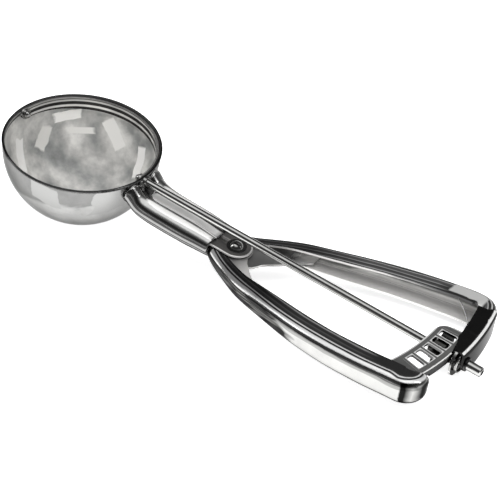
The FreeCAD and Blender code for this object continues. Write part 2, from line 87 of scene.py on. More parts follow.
def steel(name, lo, hi, r_lo, r_hi, grain=(60, 900, 900), cloud=90.0, bump=0.02, under=0.16, flat=0.5,
          wobble=0.1, inner=None, root=None, wall=1.0, inside=0, lever=False, pale=None, ring_dark=False,
          face_dark=None, reflection_bands=None, outline=None, hook_highlight=None, slots=False, reflection_lines_at=None,
          bend_highlight=False, metal_all=None, low=0.5, mid=2.2, tint=0.5, shades=None):
    """Polished sheet steel: clouds of polish, fine drawn lines, and painted shade and
    highlight by the way a face points: painted shade on the underside and flats, and a
    painted highlight on faces turned nearly up, such as bends. under and flat scale the
    colour of faces that look down and of flat tops; inner is the dull inside of the bowl,
    with painted reflections, and root paints a black shadow below that x."""
    m = bpy.data.materials.new(name)
    nt, p = nodes_of(m)
    n = nt.nodes
    lk = nt.links.new

    def val(op, a, b=None, clamp=False):
        q = n.new("ShaderNodeMath")
        q.operation = op
        q.use_clamp = clamp
        for i, v in enumerate((a, b)):
            if v is None:
                continue
            if isinstance(v, (int, float)):
                q.inputs[i].default_value = v
            else:
                lk(v, q.inputs[i])
        return q.outputs[0]

    def mixc(f, a, b):
        q = n.new("ShaderNodeMix")
        q.data_type = "RGBA"
        lk(f, q.inputs[0])
        for k, v in ((6, a), (7, b)):
            if isinstance(v, tuple):
                q.inputs[k].default_value = (v[0], v[1], v[2], 1)
            else:
                lk(v, q.inputs[k])
        return q.outputs[2]

    tc = n.new("ShaderNodeTexCoord")
    clouds = n.new("ShaderNodeTexNoise")
    clouds.inputs["Scale"].default_value = cloud
    clouds.inputs["Detail"].default_value = 5.0
    clouds.inputs["Roughness"].default_value = 0.6
    lk(tc.outputs["Object"], clouds.inputs["Vector"])
    mp = n.new("ShaderNodeMapping")
    mp.inputs["Rotation"].default_value = (0.0, TILT, 0.0)
    mp.inputs["Scale"].default_value = grain
    lk(tc.outputs["Object"], mp.inputs["Vector"])
    lines = n.new("ShaderNodeTexNoise")
    lines.inputs["Scale"].default_value = 4.0
    lines.inputs["Detail"].default_value = 3.0
    lk(mp.outputs["Vector"], lines.inputs["Vector"])
    col = ramp(nt, [(0.3, lo), (0.7, hi)])
    lk(clouds.outputs["Fac"], col.inputs["Fac"])
    # painted shade and highlight by the way a face points, with an uneven border
    geo = n.new("ShaderNodeNewGeometry")
    sep = n.new("ShaderNodeSeparateXYZ")
    lk(geo.outputs["Normal"], sep.inputs[0])
    mpw = n.new("ShaderNodeMapping")
    mpw.inputs["Rotation"].default_value = (0.0, TILT, 0.0)
    mpw.inputs["Scale"].default_value = (38, 190, 190)
    lk(tc.outputs["Object"], mpw.inputs["Vector"])
    wob = n.new("ShaderNodeTexNoise")
    wob.inputs["Scale"].default_value = 1.0
    wob.inputs["Detail"].default_value = 2.5
    lk(mpw.outputs["Vector"], wob.inputs["Vector"])
    nz = val("ADD", sep.outputs["Z"], val("MULTIPLY", val("SUBTRACT", wob.outputs["Fac"], 0.5), wobble * 2))
    fac = val("MULTIPLY", val("ADD", nz, 1.0), 0.5, True)
    shade = ramp(nt, [(0.0, (under * low,) * 3), (0.24, (under,) * 3), (0.335, (under * mid,) * 3), (0.37, (wall * 0.86,) * 3),
                      (0.60, (wall,) * 3), (0.70, (wall * 0.5,) * 3), (0.80, (wall * 0.45,) * 3), (0.90, (0.92,) * 3),
                      (0.955, (0.95,) * 3), (0.985, (flat,) * 3), (1.0, (flat * 0.92,) * 3)])
    if shades:
        nt.nodes.remove(shade)
        shade = ramp(nt, [(q0, (q1,) * 3) for q0, q1 in shades])
    lk(fac, shade.inputs["Fac"])
    mul = n.new("ShaderNodeMix")
    mul.data_type = "RGBA"
    mul.blend_type = "MULTIPLY"
    mul.inputs[0].default_value = 1.0
    lk(col.outputs["Color"], mul.inputs[6])
    lk(shade.outputs["Color"], mul.inputs[7])
    colour = mul.outputs[2]
    pos = n.new("ShaderNodeSeparateXYZ")
    lk(tc.outputs["Object"], pos.inputs[0])
    PX, PY, PZ = pos.outputs["X"], pos.outputs["Y"], pos.outputs["Z"]
    # the tool's own x and height, in metres
    xt = val("SUBTRACT", val("MULTIPLY", val("ADD", PX, 0.0723983), CT), val("MULTIPLY", val("SUBTRACT", PZ, 0.0298998), ST))
    zt = val("ADD", val("MULTIPLY", val("ADD", PX, 0.0723983), ST), val("MULTIPLY", val("SUBTRACT", PZ, 0.0298998), CT))
    metal = None

    def step(v, at, width):
        """0 below at, 1 above, over a width."""
        return val("ADD", val("MULTIPLY", val("SUBTRACT", v, at), 1.0 / width), 0.5, True)
    def wb2(w):
        return val("MULTIPLY", val("SUBTRACT", w.outputs["Fac"], 0.5), 0.003)
    flat_up = step(sep.outputs["Z"], 0.93, 0.04)
    if inside:
        # dull inner wall of a channel with painted shade, darker towards the top under the lip, and painted reflection
        # bands; its pale bottom lip is a painted reflection
        h = val("SUBTRACT", zt, val("ADD", val("MULTIPLY", val("SUBTRACT", xt, 0.074), 0.1125), -0.0087))
        inw = step(val("MULTIPLY", sep.outputs["Y"], float(inside)), 0.35, 0.2)
        painted_inner_bands = ramp(nt, [(0.0, (0.95, 0.94, 0.92)), (0.16, (0.80, 0.79, 0.77)), (0.24, (0.22, 0.22, 0.215)), (0.34, (0.16, 0.16, 0.155)),
                         (0.46, (0.72, 0.71, 0.70)), (0.66, (0.97, 0.96, 0.94)), (0.74, (0.40, 0.395, 0.39)), (0.84, (0.70, 0.69, 0.675)),
                         (0.92, (0.12, 0.12, 0.12)), (1.0, (0.06, 0.06, 0.06))])
        wv = val("MULTIPLY", val("SUBTRACT", wob.outputs["Fac"], 0.5), 0.35)
        lk(val("ADD", val("ADD", val("MULTIPLY", h, 100.0), 0.5), wv, True), painted_inner_bands.inputs["Fac"])
        colour = mixc(inw, colour, painted_inner_bands.outputs["Color"])
        low = val("MULTIPLY", flat_up, val("SUBTRACT", 1.0, step(h, -0.0015, 0.001)))
        colour = mixc(low, colour, (0.84, 0.83, 0.82))
        metal = val("SUBTRACT", 1.0, val("MULTIPLY", val("MAXIMUM", inw, low), 0.85))
    if lever:
        # painted reflections: long dark streaks on the outer wall near the root, a dark band round the end
        mps = n.new("ShaderNodeMapping")
        mps.inputs["Rotation"].default_value = (0.0, TILT * 1.8, 0.0)
        mps.inputs["Scale"].default_value = (14, 60, 520)
        lk(tc.outputs["Object"], mps.inputs["Vector"])
        stn = n.new("ShaderNodeTexNoise")
        stn.inputs["Scale"].default_value = 1.0
        stn.inputs["Detail"].default_value = 3.0
        lk(mps.outputs["Vector"], stn.inputs["Vector"])
        painted_root_streaks = ramp(nt, [(0.36, (0.012, 0.012, 0.012)), (0.43, (0.05, 0.05, 0.05)), (0.47, (0.01, 0.01, 0.01)),
                       (0.52, (0.20, 0.20, 0.195)), (0.545, (0.015, 0.015, 0.015)), (0.60, (0.09, 0.09, 0.09)), (0.66, (0.02, 0.02, 0.02))])
        lk(stn.outputs["Fac"], painted_root_streaks.inputs["Fac"])
        wallm = val("MULTIPLY", step(val("MULTIPLY", sep.outputs["Y"], -float(inside)), 0.45, 0.15),
                    val("SUBTRACT", 1.0, step(sep.outputs["Z"], 0.55, 0.1)))
        near = val("SUBTRACT", 1.0, step(val("ADD", xt, val("MULTIPLY", val("SUBTRACT", wob.outputs["Fac"], 0.5), 0.05)), 0.1135, 0.006))
        colour = mixc(val("MULTIPLY", wallm, near), colour, painted_root_streaks.outputs["Color"])
        # painted reflections: a dark line along the foot of the wall and a greyer upper part with a ragged border
        hb = val("SUBTRACT", zt, val("ADD", val("MULTIPLY", val("SUBTRACT", xt, 0.112), 0.115), -0.0052))
        wb = val("MULTIPLY", val("SUBTRACT", wob.outputs["Fac"], 0.5), 0.0035)
        painted_wall_bands = ramp(nt, [(0.0, (0.03, 0.03, 0.03)), (0.185, (0.04, 0.04, 0.04)), (0.215, (0.85, 0.85, 0.84)), (0.66, (0.85, 0.85, 0.84)),
                       (0.68, (0.55, 0.55, 0.545)), (0.80, (0.42, 0.42, 0.415)), (0.82, (0.10, 0.10, 0.10)), (0.87, (0.30, 0.30, 0.30)),
                       (1.0, (0.6, 0.6, 0.6))])
        lk(val("ADD", val("MULTIPLY", val("ADD", hb, wb), 98.0), 0.5, True), painted_wall_bands.inputs["Fac"])
        mh = n.new("ShaderNodeMix")
        mh.data_type = "RGBA"
        mh.blend_type = "MULTIPLY"
        lk(wallm, mh.inputs[0])
        lk(colour, mh.inputs[6])
        lk(painted_wall_bands.outputs["Color"], mh.inputs[7])
        colour = mh.outputs[2]
        painted_end_band = ramp(nt, [(0.0, (1, 1, 1)), (0.60, (1, 1, 1)), (0.63, (0.02, 0.02, 0.02)), (0.73, (0.02, 0.02, 0.02)),
                        (0.78, (0.30, 0.30, 0.30)), (0.86, (0.9, 0.9, 0.9)), (0.92, (0.5, 0.5, 0.5)), (0.97, (0.03, 0.03, 0.03))])
        lk(val("MULTIPLY", val("ADD", val("ADD", sep.outputs["X"], val("MULTIPLY", val("SUBTRACT", wob.outputs["Fac"], 0.5), 0.12)), 1.0), 0.5, True),
           painted_end_band.inputs["Fac"])
        endm = val("MULTIPLY", step(xt, 0.150, 0.004), val("SUBTRACT", 1.0, step(sep.outputs["Z"], 0.8, 0.1)))
        nb = mixc(endm, (1.0, 1.0, 1.0), painted_end_band.outputs["Color"])
        mm = n.new("ShaderNodeMix")
        mm.data_type = "RGBA"
        mm.blend_type = "MULTIPLY"
        mm.inputs[0].default_value = 1.0
        lk(colour, mm.inputs[6])
        lk(nb, mm.inputs[7])
        colour = mm.outputs[2]
    if pale is not None:
        # satin flats below a given x of the tool; their tone, given to up-facing faces only, is painted light and shade
        pm = val("MULTIPLY", flat_up, val("SUBTRACT", 1.0, step(xt, pale[0], 0.004)))
        pm = val("MULTIPLY", pm, val("SUBTRACT", 1.0, step(zt, pale[1], 0.0006)))
        pc = ramp(nt, [(0.3, tuple(0.8 * c for c in pale[2])), (0.7, pale[2])])
        lk(clouds.outputs["Fac"], pc.inputs["Fac"])
        colour = mixc(pm, colour, pc.outputs["Color"])
        q = val("SUBTRACT", 1.0, val("MULTIPLY", pm, 0.8))
        metal = q if metal is None else val("MINIMUM", metal, q)
    if outline is not None:
        # painted reflections: fine lines that run along the flat top, by the distance in from the outer edge
        tt = val("DIVIDE", val("SUBTRACT", xt, 0.110), 0.044)
        acc = None
        for c in outline:
            acc = val("MULTIPLY", tt, 0.0) if acc is None else val("MULTIPLY", acc, tt)
            acc = val("ADD", acc, c / 1000.0)
        ay = val("ABSOLUTE", val("ADD", PY, 0.0001683))
        din = val("SUBTRACT", acc, ay)
        ex = val("SUBTRACT", xt, 0.1586)
        ey = val("SUBTRACT", ay, 0.0219)
        rad = val("SQRT", val("ADD", val("MULTIPLY", ex, ex), val("MULTIPLY", ey, ey)))
        dend = val("SUBTRACT", 0.0088, rad)
        sel = step(xt, 0.1575, 0.004)
        dist = val("ADD", val("MULTIPLY", din, val("SUBTRACT", 1.0, sel)), val("MULTIPLY", dend, sel))
        wl = val("MULTIPLY", val("SUBTRACT", wob.outputs["Fac"], 0.5), 0.0009)
        lr = ramp(nt, [(q0, (q1,) * 3) for q0, q1 in reflection_lines_at])
        lk(val("MULTIPLY", val("ADD", dist, wl), 1.0 / 0.0092, True), lr.inputs["Fac"])
        inner_part = val("MULTIPLY", step(dist, 0.0042, 0.0006), step(xt, 0.146, 0.006))
        lrc = mixc(inner_part, lr.outputs["Color"], (0.03, 0.03, 0.03))
        if lever:
            # painted reflection lines dimmed towards the root
            ml = n.new("ShaderNodeMix")
            ml.data_type = "RGBA"
            ml.blend_type = "MULTIPLY"
            lk(val("SUBTRACT", 1.0, step(xt, 0.106, 0.02)), ml.inputs[0])
            lk(lrc, ml.inputs[6])
            ml.inputs[7].default_value = (0.30, 0.30, 0.30, 1.0)
            lrc = ml.outputs[2]
        top = step(sep.outputs["Z"], 0.72, 0.1)
        high = step(val("SUBTRACT", zt, val("ADD", val("MULTIPLY", val("SUBTRACT", xt, 0.074), 0.1125), -0.0087)), 0.0012, 0.001)
        top = val("MULTIPLY", top, high)
        colour = mixc(top, colour, lrc)
        q = val("SUBTRACT", 1.0, val("MULTIPLY", top, 0.62))
        metal = q if metal is None else val("MINIMUM", metal, q)
        if hook_highlight is not None:
            # painted highlight: a pale patch on the flat top near the hook
            hm = val("MULTIPLY", step(val("ADD", xt, wb2(wob)), hook_highlight[0], 0.0008), val("SUBTRACT", 1.0, step(xt, hook_highlight[1], 0.0008)))
            hm = val("MULTIPLY", hm, val("MULTIPLY", top, val("MULTIPLY", step(dist, 0.0022, 0.0004), val("SUBTRACT", 1.0, step(dist, 0.0068, 0.0004)))))
            colour = mixc(hm, colour, (0.64, 0.64, 0.63))
    if slots:
        # painted highlight: bright rims round the ladder's slots and along its outline
        dx = val("SUBTRACT", xt, 0.0734)
        py = val("ADD", PY, 0.0001683)
        rad = val("SQRT", val("ADD", val("MULTIPLY", dx, dx), val("MULTIPLY", py, py)))
        ang = val("MULTIPLY", val("ARCTAN2", py, dx), 57.29578)
        uu = val("DIVIDE", val("SUBTRACT", ang, 1.5), 3.0618)
        fr = val("ABSOLUTE", val("SUBTRACT", uu, val("ROUND", uu)))
        da = val("SUBTRACT", val("MULTIPLY", fr, 0.00467), 0.0016)
        dr = val("SUBTRACT", val("ABSOLUTE", val("SUBTRACT", rad, 0.0874)), 0.0031)
        sd = val("MAXIMUM", da, dr)
        inr = val("MULTIPLY", step(uu, -4.6, 0.02), val("SUBTRACT", 1.0, step(uu, 0.6, 0.02)))
        rim_highlight = val("MULTIPLY", inr, val("SUBTRACT", 1.0, step(sd, 0.0003, 0.00015)))
        edge = val("MAXIMUM", val("SUBTRACT", 1.0, step(rad, 0.0825, 0.0002)), step(ang, 4.55, 0.05))
        rim_highlight = val("MULTIPLY", val("MAXIMUM", rim_highlight, edge), step(sep.outputs["Z"], 0.9, 0.05))
        colour = mixc(rim_highlight, colour, (0.62, 0.62, 0.615))
        q = val("SUBTRACT", 1.0, val("MULTIPLY", rim_highlight, 0.7))
        metal = q if metal is None else val("MINIMUM", metal, q)
    if ring_dark:
        # painted dark reflection on the downturned edge of a plate that swings about the rivet
        dx = val("SUBTRACT", xt, 0.0734)
        rad = val("SQRT", val("ADD", val("MULTIPLY", dx, dx), val("MULTIPLY", val("ADD", PY, 0.00017), val("ADD", PY, 0.00017))))
        dm = val("MULTIPLY", step(rad, 0.0919, 0.0003), val("SUBTRACT", 1.0, step(sep.outputs["Z"], 0.45, 0.3)))
        colour = mixc(dm, colour, (0.055, 0.055, 0.055))
    if bend_highlight:
        # painted highlight along a downturned bend
        bm_ = val("MULTIPLY", step(sep.outputs["Z"], 0.60, 0.12), val("SUBTRACT", 1.0, step(sep.outputs["Z"], 0.92, 0.06)))
        bm_ = val("MULTIPLY", bm_, step(sep.outputs["X"], 0.15, 0.1))
        colour = mixc(bm_, colour, (0.85, 0.85, 0.84))
        q = val("SUBTRACT", 1.0, val("MULTIPLY", bm_, 0.75))
        metal = q if metal is None else val("MINIMUM", metal, q)
    if face_dark is not None:
        # painted dark reflection on faces that point along x
        dm = step(val("ABSOLUTE", sep.outputs["X"]), 0.8, 0.1)
        colour = mixc(dm, colour, face_dark)
    if reflection_bands is not None:
        # painted reflection bands across the blade by height
        br = ramp(nt, reflection_bands)
        lk(val("ADD", val("MULTIPLY", zt, 1.0 / 0.0062), 0.68, True), br.inputs["Fac"])
        mb = n.new("ShaderNodeMix")
        mb.data_type = "RGBA"
        mb.blend_type = "MULTIPLY"
        mb.inputs[0].default_value = 1.0
        lk(colour, mb.inputs[6])
        lk(br.outputs["Color"], mb.inputs[7])
        colour = mb.outputs[2]
    add = val("ADD", clouds.outputs["Fac"], lines.outputs["Fac"])
    mr = n.new("ShaderNodeMapRange")
    mr.inputs["From Min"].default_value = 0.6
    mr.inputs["From Max"].default_value = 1.4
    mr.inputs["To Min"].default_value = r_lo
    mr.inputs["To Max"].default_value = r_hi
    lk(add, mr.inputs["Value"])
    rough = mr.outputs["Result"]
    if root is not None:
        # painted shadow: black below that x, for the shaded gap between the neck and the handle
        blk = ramp(nt, [(0.45, (1, 1, 1)), (0.55, (0, 0, 0))])
        lk(step(xt, root, 0.0006), blk.inputs["Fac"])
        colour = mixc(blk.outputs["Color"], colour, (0.006, 0.006, 0.006))
    if inner is not None:
        vs = n.new("ShaderNodeVectorMath")
        vs.operation = "DISTANCE"
        lk(tc.outputs["Object"], vs.inputs[0])
        vs.inputs[1].default_value = tuple(inner)
        d = vs.outputs["Value"]
        ins = val("LESS_THAN", d, 0.02955)
        # broad soft clouds of tone over a satin ground
        big = n.new("ShaderNodeTexNoise")
        big.inputs["Scale"].default_value = 62.0
        big.inputs["Detail"].default_value = 6.0
        big.inputs["Roughness"].default_value = 0.55
        lk(tc.outputs["Object"], big.inputs["Vector"])
        st = ramp(nt, [(0.30, (0.15, 0.155, 0.15)), (0.42, (0.32, 0.325, 0.32)), (0.51, (0.52, 0.515, 0.50)),
                       (0.64, (0.86, 0.85, 0.82))])
        lk(big.outputs["Fac"], st.inputs["Fac"])
        satin = st.outputs["Color"]
        # painted reflections: bright panes with crisp borders, each given by its middle and two half sides
        dv = n.new("ShaderNodeVectorMath")
        dv.operation = "SUBTRACT"
        lk(tc.outputs["Object"], dv.inputs[0])
        dv.inputs[1].default_value = tuple(inner)
        nv = n.new("ShaderNodeVectorMath")
        nv.operation = "NORMALIZE"
        lk(dv.outputs[0], nv.inputs[0])
        wv = val("MULTIPLY", val("SUBTRACT", wob.outputs["Fac"], 0.5), 0.9)
        for c, u, v, pc, soft in OUTER_REFLECTIONS:
            off = n.new("ShaderNodeVectorMath")
            off.operation = "SUBTRACT"
            lk(nv.outputs[0], off.inputs[0])
            off.inputs[1].default_value = c
            co = []
            for ax in (u, v):
                ax = Vector(ax)
                dt = n.new("ShaderNodeVectorMath")
                dt.operation = "DOT_PRODUCT"
                lk(off.outputs[0], dt.inputs[0])
                dt.inputs[1].default_value = tuple(ax / ax.length_squared)
                co.append(val("ABSOLUTE", val("ADD", dt.outputs["Value"], wv)))
            mx = val("MAXIMUM", co[0], co[1])
            colour = mixc(val("SUBTRACT", 1.0, step(mx, 1.0, soft)), colour, pc)
        # painted shade: the outside at the rim is darkened, over a wider band on the far side
        rim_shade_ramp = ramp(nt, [(0.0, (0, 0, 0)), (0.30, (0, 0, 0)), (0.34, (1, 1, 1)), (1.0, (1, 1, 1))])
        side = n.new("ShaderNodeVectorMath")
        side.operation = "DOT_PRODUCT"
        lk(nv.outputs[0], side.inputs[0])
        side.inputs[1].default_value = (-0.75, -0.1, 0.0)
        far = step(side.outputs["Value"], 0.45, 0.3)
        zr = val("ADD", val("SUBTRACT", zt, 0.0022), val("MULTIPLY", far, 0.0021))
        lk(val("ADD", val("MULTIPLY", zr, 300.0), 0.5, True), rim_shade_ramp.inputs["Fac"])
        colour = mixc(rim_shade_ramp.outputs["Color"], colour, (0.08, 0.08, 0.08))
        # painted reflections: bright wedges on the satin inside
        for c, u, v, pc, soft in INNER_REFLECTIONS:
            off = n.new("ShaderNodeVectorMath")
            off.operation = "SUBTRACT"
            lk(nv.outputs[0], off.inputs[0])
            off.inputs[1].default_value = c
            co = []
            for ax in (u, v):
                ax = Vector(ax)
                dt = n.new("ShaderNodeVectorMath")
                dt.operation = "DOT_PRODUCT"
                lk(off.outputs[0], dt.inputs[0])
                dt.inputs[1].default_value = tuple(ax / ax.length_squared)
                co.append(val("ABSOLUTE", val("ADD", dt.outputs["Value"], wv)))
            mx = val("MAXIMUM", co[0], co[1])
            msk = val("SUBTRACT", 1.0, step(mx, 1.0, soft))
            satin = mixc(msk, satin, pc)
        # painted shade: dark bands round the inside at the rim
        rim_inner_shade = ramp(nt, [(0.0, (0, 0, 0)), (0.40, (0, 0, 0)), (0.44, (1, 1, 1)), (0.60, (1, 1, 1)), (0.66, (0.15, 0.15, 0.15)),
                        (0.72, (0.2, 0.2, 0.2)), (0.78, (1, 1, 1))])
        lk(val("ADD", val("MULTIPLY", zt, 220.0), 0.5, True), rim_inner_shade.inputs["Fac"])
        satin = mixc(rim_inner_shade.outputs["Color"], satin, (0.03, 0.03, 0.03))
        colour = mixc(ins, colour, satin)
        rr = n.new("ShaderNodeMix")
        rr.data_type = "FLOAT"
        lk(ins, rr.inputs[0])
        lk(rough, rr.inputs[2])
        rr.inputs[3].default_value = 0.36
        rough = rr.outputs[0]
        metal = val("SUBTRACT", 1.0, val("MULTIPLY", ins, 0.85))
    lk(colour, p.inputs["Base Color"])
    lk(rough, p.inputs["Roughness"])
    b = n.new("ShaderNodeBump")
    b.inputs["Strength"].default_value = bump
    b.inputs["Distance"].default_value = 0.0003
    lk(lines.outputs["Fac"], b.inputs["Height"])
    lk(b.outputs["Normal"], p.inputs["Normal"])
    p.inputs["Metallic"].default_value = 1.0
    p.inputs["Specular Tint"].default_value = (tint, tint, tint, 1.0)
    if metal is not None:
        lk(metal, p.inputs["Metallic"])
    elif metal_all is not None:
        p.inputs["Metallic"].default_value = metal_all
    return m


BOWL_C = T(0, 0, 0)
INNER_REFLECTIONS = [
    ((-0.775, 0.619, -0.128), (0.115, 0.145, 0.001), (0.009, -0.002, -0.069), (0.96, 0.95, 0.92), 0.12),
    ((-0.904, 0.251, -0.346), (0.033, 0.056, -0.047), (0.012, -0.118, -0.116), (0.80, 0.79, 0.76), 0.2),
    ((-0.209, 0.911, -0.355), (0.071, 0.035, 0.048), (0.122, -0.031, -0.151), (0.96, 0.95, 0.92), 0.12),
    ((0.311, 0.790, -0.528), (0.069, -0.011, 0.025), (0.057, -0.121, -0.146), (0.98, 0.97, 0.95), 0.15),
    ((-0.907, -0.207, -0.367), (-0.003, 0.067, -0.030), (0.093, -0.087, -0.178), (0.99, 0.98, 0.96), 0.12),
    ((-0.608, 0.712, -0.351), (0.127, 0.106, -0.006), (0.008, -0.012, -0.039), (0.86, 0.85, 0.82), 0.3),
]
OUTER_REFLECTIONS = [
    ((0.197, -0.970, -0.141), (0.169, 0.030, 0.013), (-0.048, 0.013, -0.142), (0.36, 0.36, 0.355), 0.06),
    ((0.839, -0.481, -0.254), (0.107, 0.208, -0.024), (-0.030, 0.061, -0.190), (0.37, 0.37, 0.365), 0.06),
]
HAND_MOVING = (0.6462, -1.4369, 0.8552, -4.7221, 9.7507, 25.0311)
HAND_FIXED = (-1.2779, -0.1546, 2.6934, -5.5176, 10.6991, 24.0503)
M_HANDLE = steel("handle_steel", (0.60, 0.60, 0.595), (0.72, 0.72, 0.71), 0.08, 0.16, inside=-1, lever=True, flat=0.6,
                 pale=(0.089, -0.0065, (0.14, 0.14, 0.138)), outline=HAND_FIXED, hook_highlight=(0.1485, 0.1622),
                 reflection_lines_at=[(0.0, 0.015), (0.13, 0.02), (0.16, 0.75), (0.19, 0.5), (0.22, 0.03), (0.30, 0.04), (0.33, 0.55), (0.37, 0.10),
                           (0.52, 0.10), (0.56, 0.40), (0.60, 0.05), (0.74, 0.10), (0.79, 0.50), (0.83, 0.06), (0.90, 0.02)])
M_LEVER = steel("lever_steel", (0.58, 0.58, 0.575), (0.70, 0.70, 0.69), 0.08, 0.16, inside=1, lever=True, flat=0.6,
                pale=(0.0895, -0.0055, (0.60, 0.59, 0.58)), root=0.0679, outline=HAND_MOVING,
                reflection_lines_at=[(0.0, 0.9), (0.20, 0.7), (0.23, 0.03), (0.29, 0.04), (0.32, 0.95), (0.35, 0.5), (0.38, 0.03), (0.50, 0.05),
                          (0.55, 0.10), (0.60, 0.03), (0.72, 0.04), (0.78, 0.40), (0.82, 0.05), (0.90, 0.015)])
M_BOWL = steel("bowl_steel", (0.22, 0.22, 0.217), (0.29, 0.29, 0.285), 0.12, 0.22, cloud=120.0, under=1.6, mid=1.0, low=0.8, tint=0.4, flat=0.8,
               wobble=0.16, inner=BOWL_C)
M_PLATE = steel("plate_steel", (0.30, 0.30, 0.30), (0.38, 0.38, 0.375), 0.14, 0.24, flat=0.5, wall=0.5, ring_dark=True,
                slots=True, bend_highlight=True, pale=(0.17, 0.01, (0.12, 0.12, 0.118)))
M_GUIDE = steel("guide_steel", (0.50, 0.50, 0.495), (0.64, 0.64, 0.63), 0.12, 0.22, flat=0.16, under=0.2, wall=0.05, bend_highlight=True)
M_EAR = steel("ear_steel", (0.40, 0.40, 0.40), (0.60, 0.60, 0.59), 0.15, 0.25, under=0.9, face_dark=(0.05, 0.05, 0.05))
# painted reflection bands on the neck's tube, by the way a face points
M_NECK = steel("neck_steel", (0.50, 0.50, 0.495), (0.66, 0.66, 0.65), 0.14, 0.24, flat=0.85,
               pale=(0.066, 0.001, (0.97, 0.965, 0.95)),
               shades=[(0.0, 0.03), (0.22, 0.06), (0.30, 0.10), (0.33, 0.55), (0.37, 0.60), (0.40, 0.07), (0.43, 0.10), (0.46, 0.62),
                       (0.56, 0.50), (0.59, 0.06), (0.66, 0.12), (0.70, 0.75), (0.73, 0.30), (0.80, 0.20), (0.86, 0.95), (0.95, 1.0),
                       (0.985, 0.85), (1.0, 0.8)])
M_TAB = steel("tab_steel", (0.50, 0.49, 0.48), (0.66, 0.65, 0.63), 0.36, 0.46, flat=0.5, pale=(0.09, 0.0, (0.09, 0.088, 0.085)))
# paler, duller steel for the tab's rolled edge: painted light
M_ROLL = steel("roll_steel", (0.74, 0.735, 0.72), (0.90, 0.89, 0.88), 0.2, 0.3, flat=1.0, metal_all=0.5)
M_ROD = steel("rod_steel", (0.50, 0.50, 0.49), (0.64, 0.64, 0.63), 0.08, 0.16, grain=(40, 2200, 2200), wobble=0.04)
M_DARK = steel("oxide_steel", (0.06, 0.06, 0.06), (0.12, 0.12, 0.12), 0.25, 0.4)
M_BLADE = steel("blade_steel", (0.80, 0.79, 0.77), (0.98, 0.97, 0.95), 0.08, 0.16, cloud=200.0, under=0.9, metal_all=0.55, reflection_bands=[
    (0.0, (1.0,) * 3), (0.08, (0.95,) * 3), (0.11, (0.02,) * 3), (0.27, (0.05,) * 3), (0.31, (1.0,) * 3), (0.42, (1.0,) * 3),
    (0.46, (0.03,) * 3), (0.66, (0.05,) * 3), (0.70, (0.9,) * 3), (0.79, (0.8,) * 3), (0.83, (0.03,) * 3), (0.93, (0.6,) * 3)])
M_WASHER = steel("washer_steel", (0.36, 0.36, 0.355), (0.5, 0.5, 0.49), 0.15, 0.28)
M_WIRE = steel("wire_steel", (0.45, 0.45, 0.44), (0.62, 0.62, 0.61), 0.14, 0.24, grain=(200, 200, 200))
M_PINION = steel("pinion_steel", (0.03, 0.03, 0.03), (0.09, 0.09, 0.085), 0.22, 0.38)

LOOK = {
    "bowl": M_BOWL, "scraper_blade": M_BLADE, "blade_drive_washer": M_WASHER,
    "blade_pivot_pin": M_ROD, "blade_pivot_washer": M_WASHER, "drive_shaft": M_ROD,
    "shaft_bush": M_WASHER, "shaft_end_washer": M_DARK, "shaft_end_collar": M_ROD,
    "pinion": M_PINION, "rack_plate": M_PLATE, "guide_plate": M_GUIDE,
    "moving_handle": M_LEVER, "fixed_handle": M_HANDLE, "shaft_bracket": M_EAR,
    "neck_channel": M_NECK, "pivot_rivet": M_ROD, "pivot_head_washer": M_WASHER,
    "pivot_lower_washer": M_WASHER, "return_spring": M_WIRE,
}
for name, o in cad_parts.items():
    if o.type != "MESH":
        continue
    m = LOOK[name]
    if o.material_slots:
        for s in o.material_slots:
            s.material = m
    else:
        o.data.materials.append(m)

# ------------------------------------------------------- detailed pieces
def grid(name, rows, mat, close_u=False, body="frame", solid=None, smooth=True, caps=False):
    """Quad mesh through rows of points; close_u joins each row's ends."""
    bm = bmesh.new()
    vs = [[bm.verts.new(p) for p in r] for r in rows]
    n = len(rows[0])
    for i in range(len(rows) - 1):
        for j in range(n if close_u else n - 1):
            k = (j + 1) % n
            bm.faces.new((vs[i][j], vs[i][k], vs[i + 1][k], vs[i + 1][j]))
    if caps:
        bm.faces.new(vs[0][::-1])
        bm.faces.new(vs[-1])
    bmesh.ops.remove_doubles(bm, verts=bm.verts, dist=1e-7)
    bmesh.ops.recalc_face_normals(bm, faces=bm.faces)
    for f in bm.faces:
        f.smooth = smooth
    me = bpy.data.meshes.new(name)
    bm.to_mesh(me)
    bm.free()
    me.materials.append(mat)
    o = bpy.data.objects.new(name, me)
    scene.collection.objects.link(o)
    if solid:
        s = o.modifiers.new("sheet", "SOLIDIFY")
        s.thickness = solid[0] / 1000.0
        s.offset = solid[1]
        s.use_even_offset = True
    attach(o, body)
    return o


def tube(name, pts, radius, mat, body="frame", cyclic=False, order=4, fill=True, res=6):
    cu = bpy.data.curves.new(name, "CURVE")
    cu.dimensions = "3D"
    sp = cu.splines.new("NURBS")
    sp.points.add(len(pts) - 1)
    for i, q in enumerate(pts):
        sp.points[i].co = (q.x, q.y, q.z, 1.0)
    sp.order_u = order
    sp.use_endpoint_u = not cyclic
    sp.use_cyclic_u = cyclic
    sp.resolution_u = res
    cu.bevel_depth = radius / 1000.0
    cu.bevel_resolution = 5
    cu.use_fill_caps = fill
    cu.materials.append(mat)
    o = bpy.data.objects.new(name, cu)
    scene.collection.objects.link(o)
    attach(o, body)
    return o


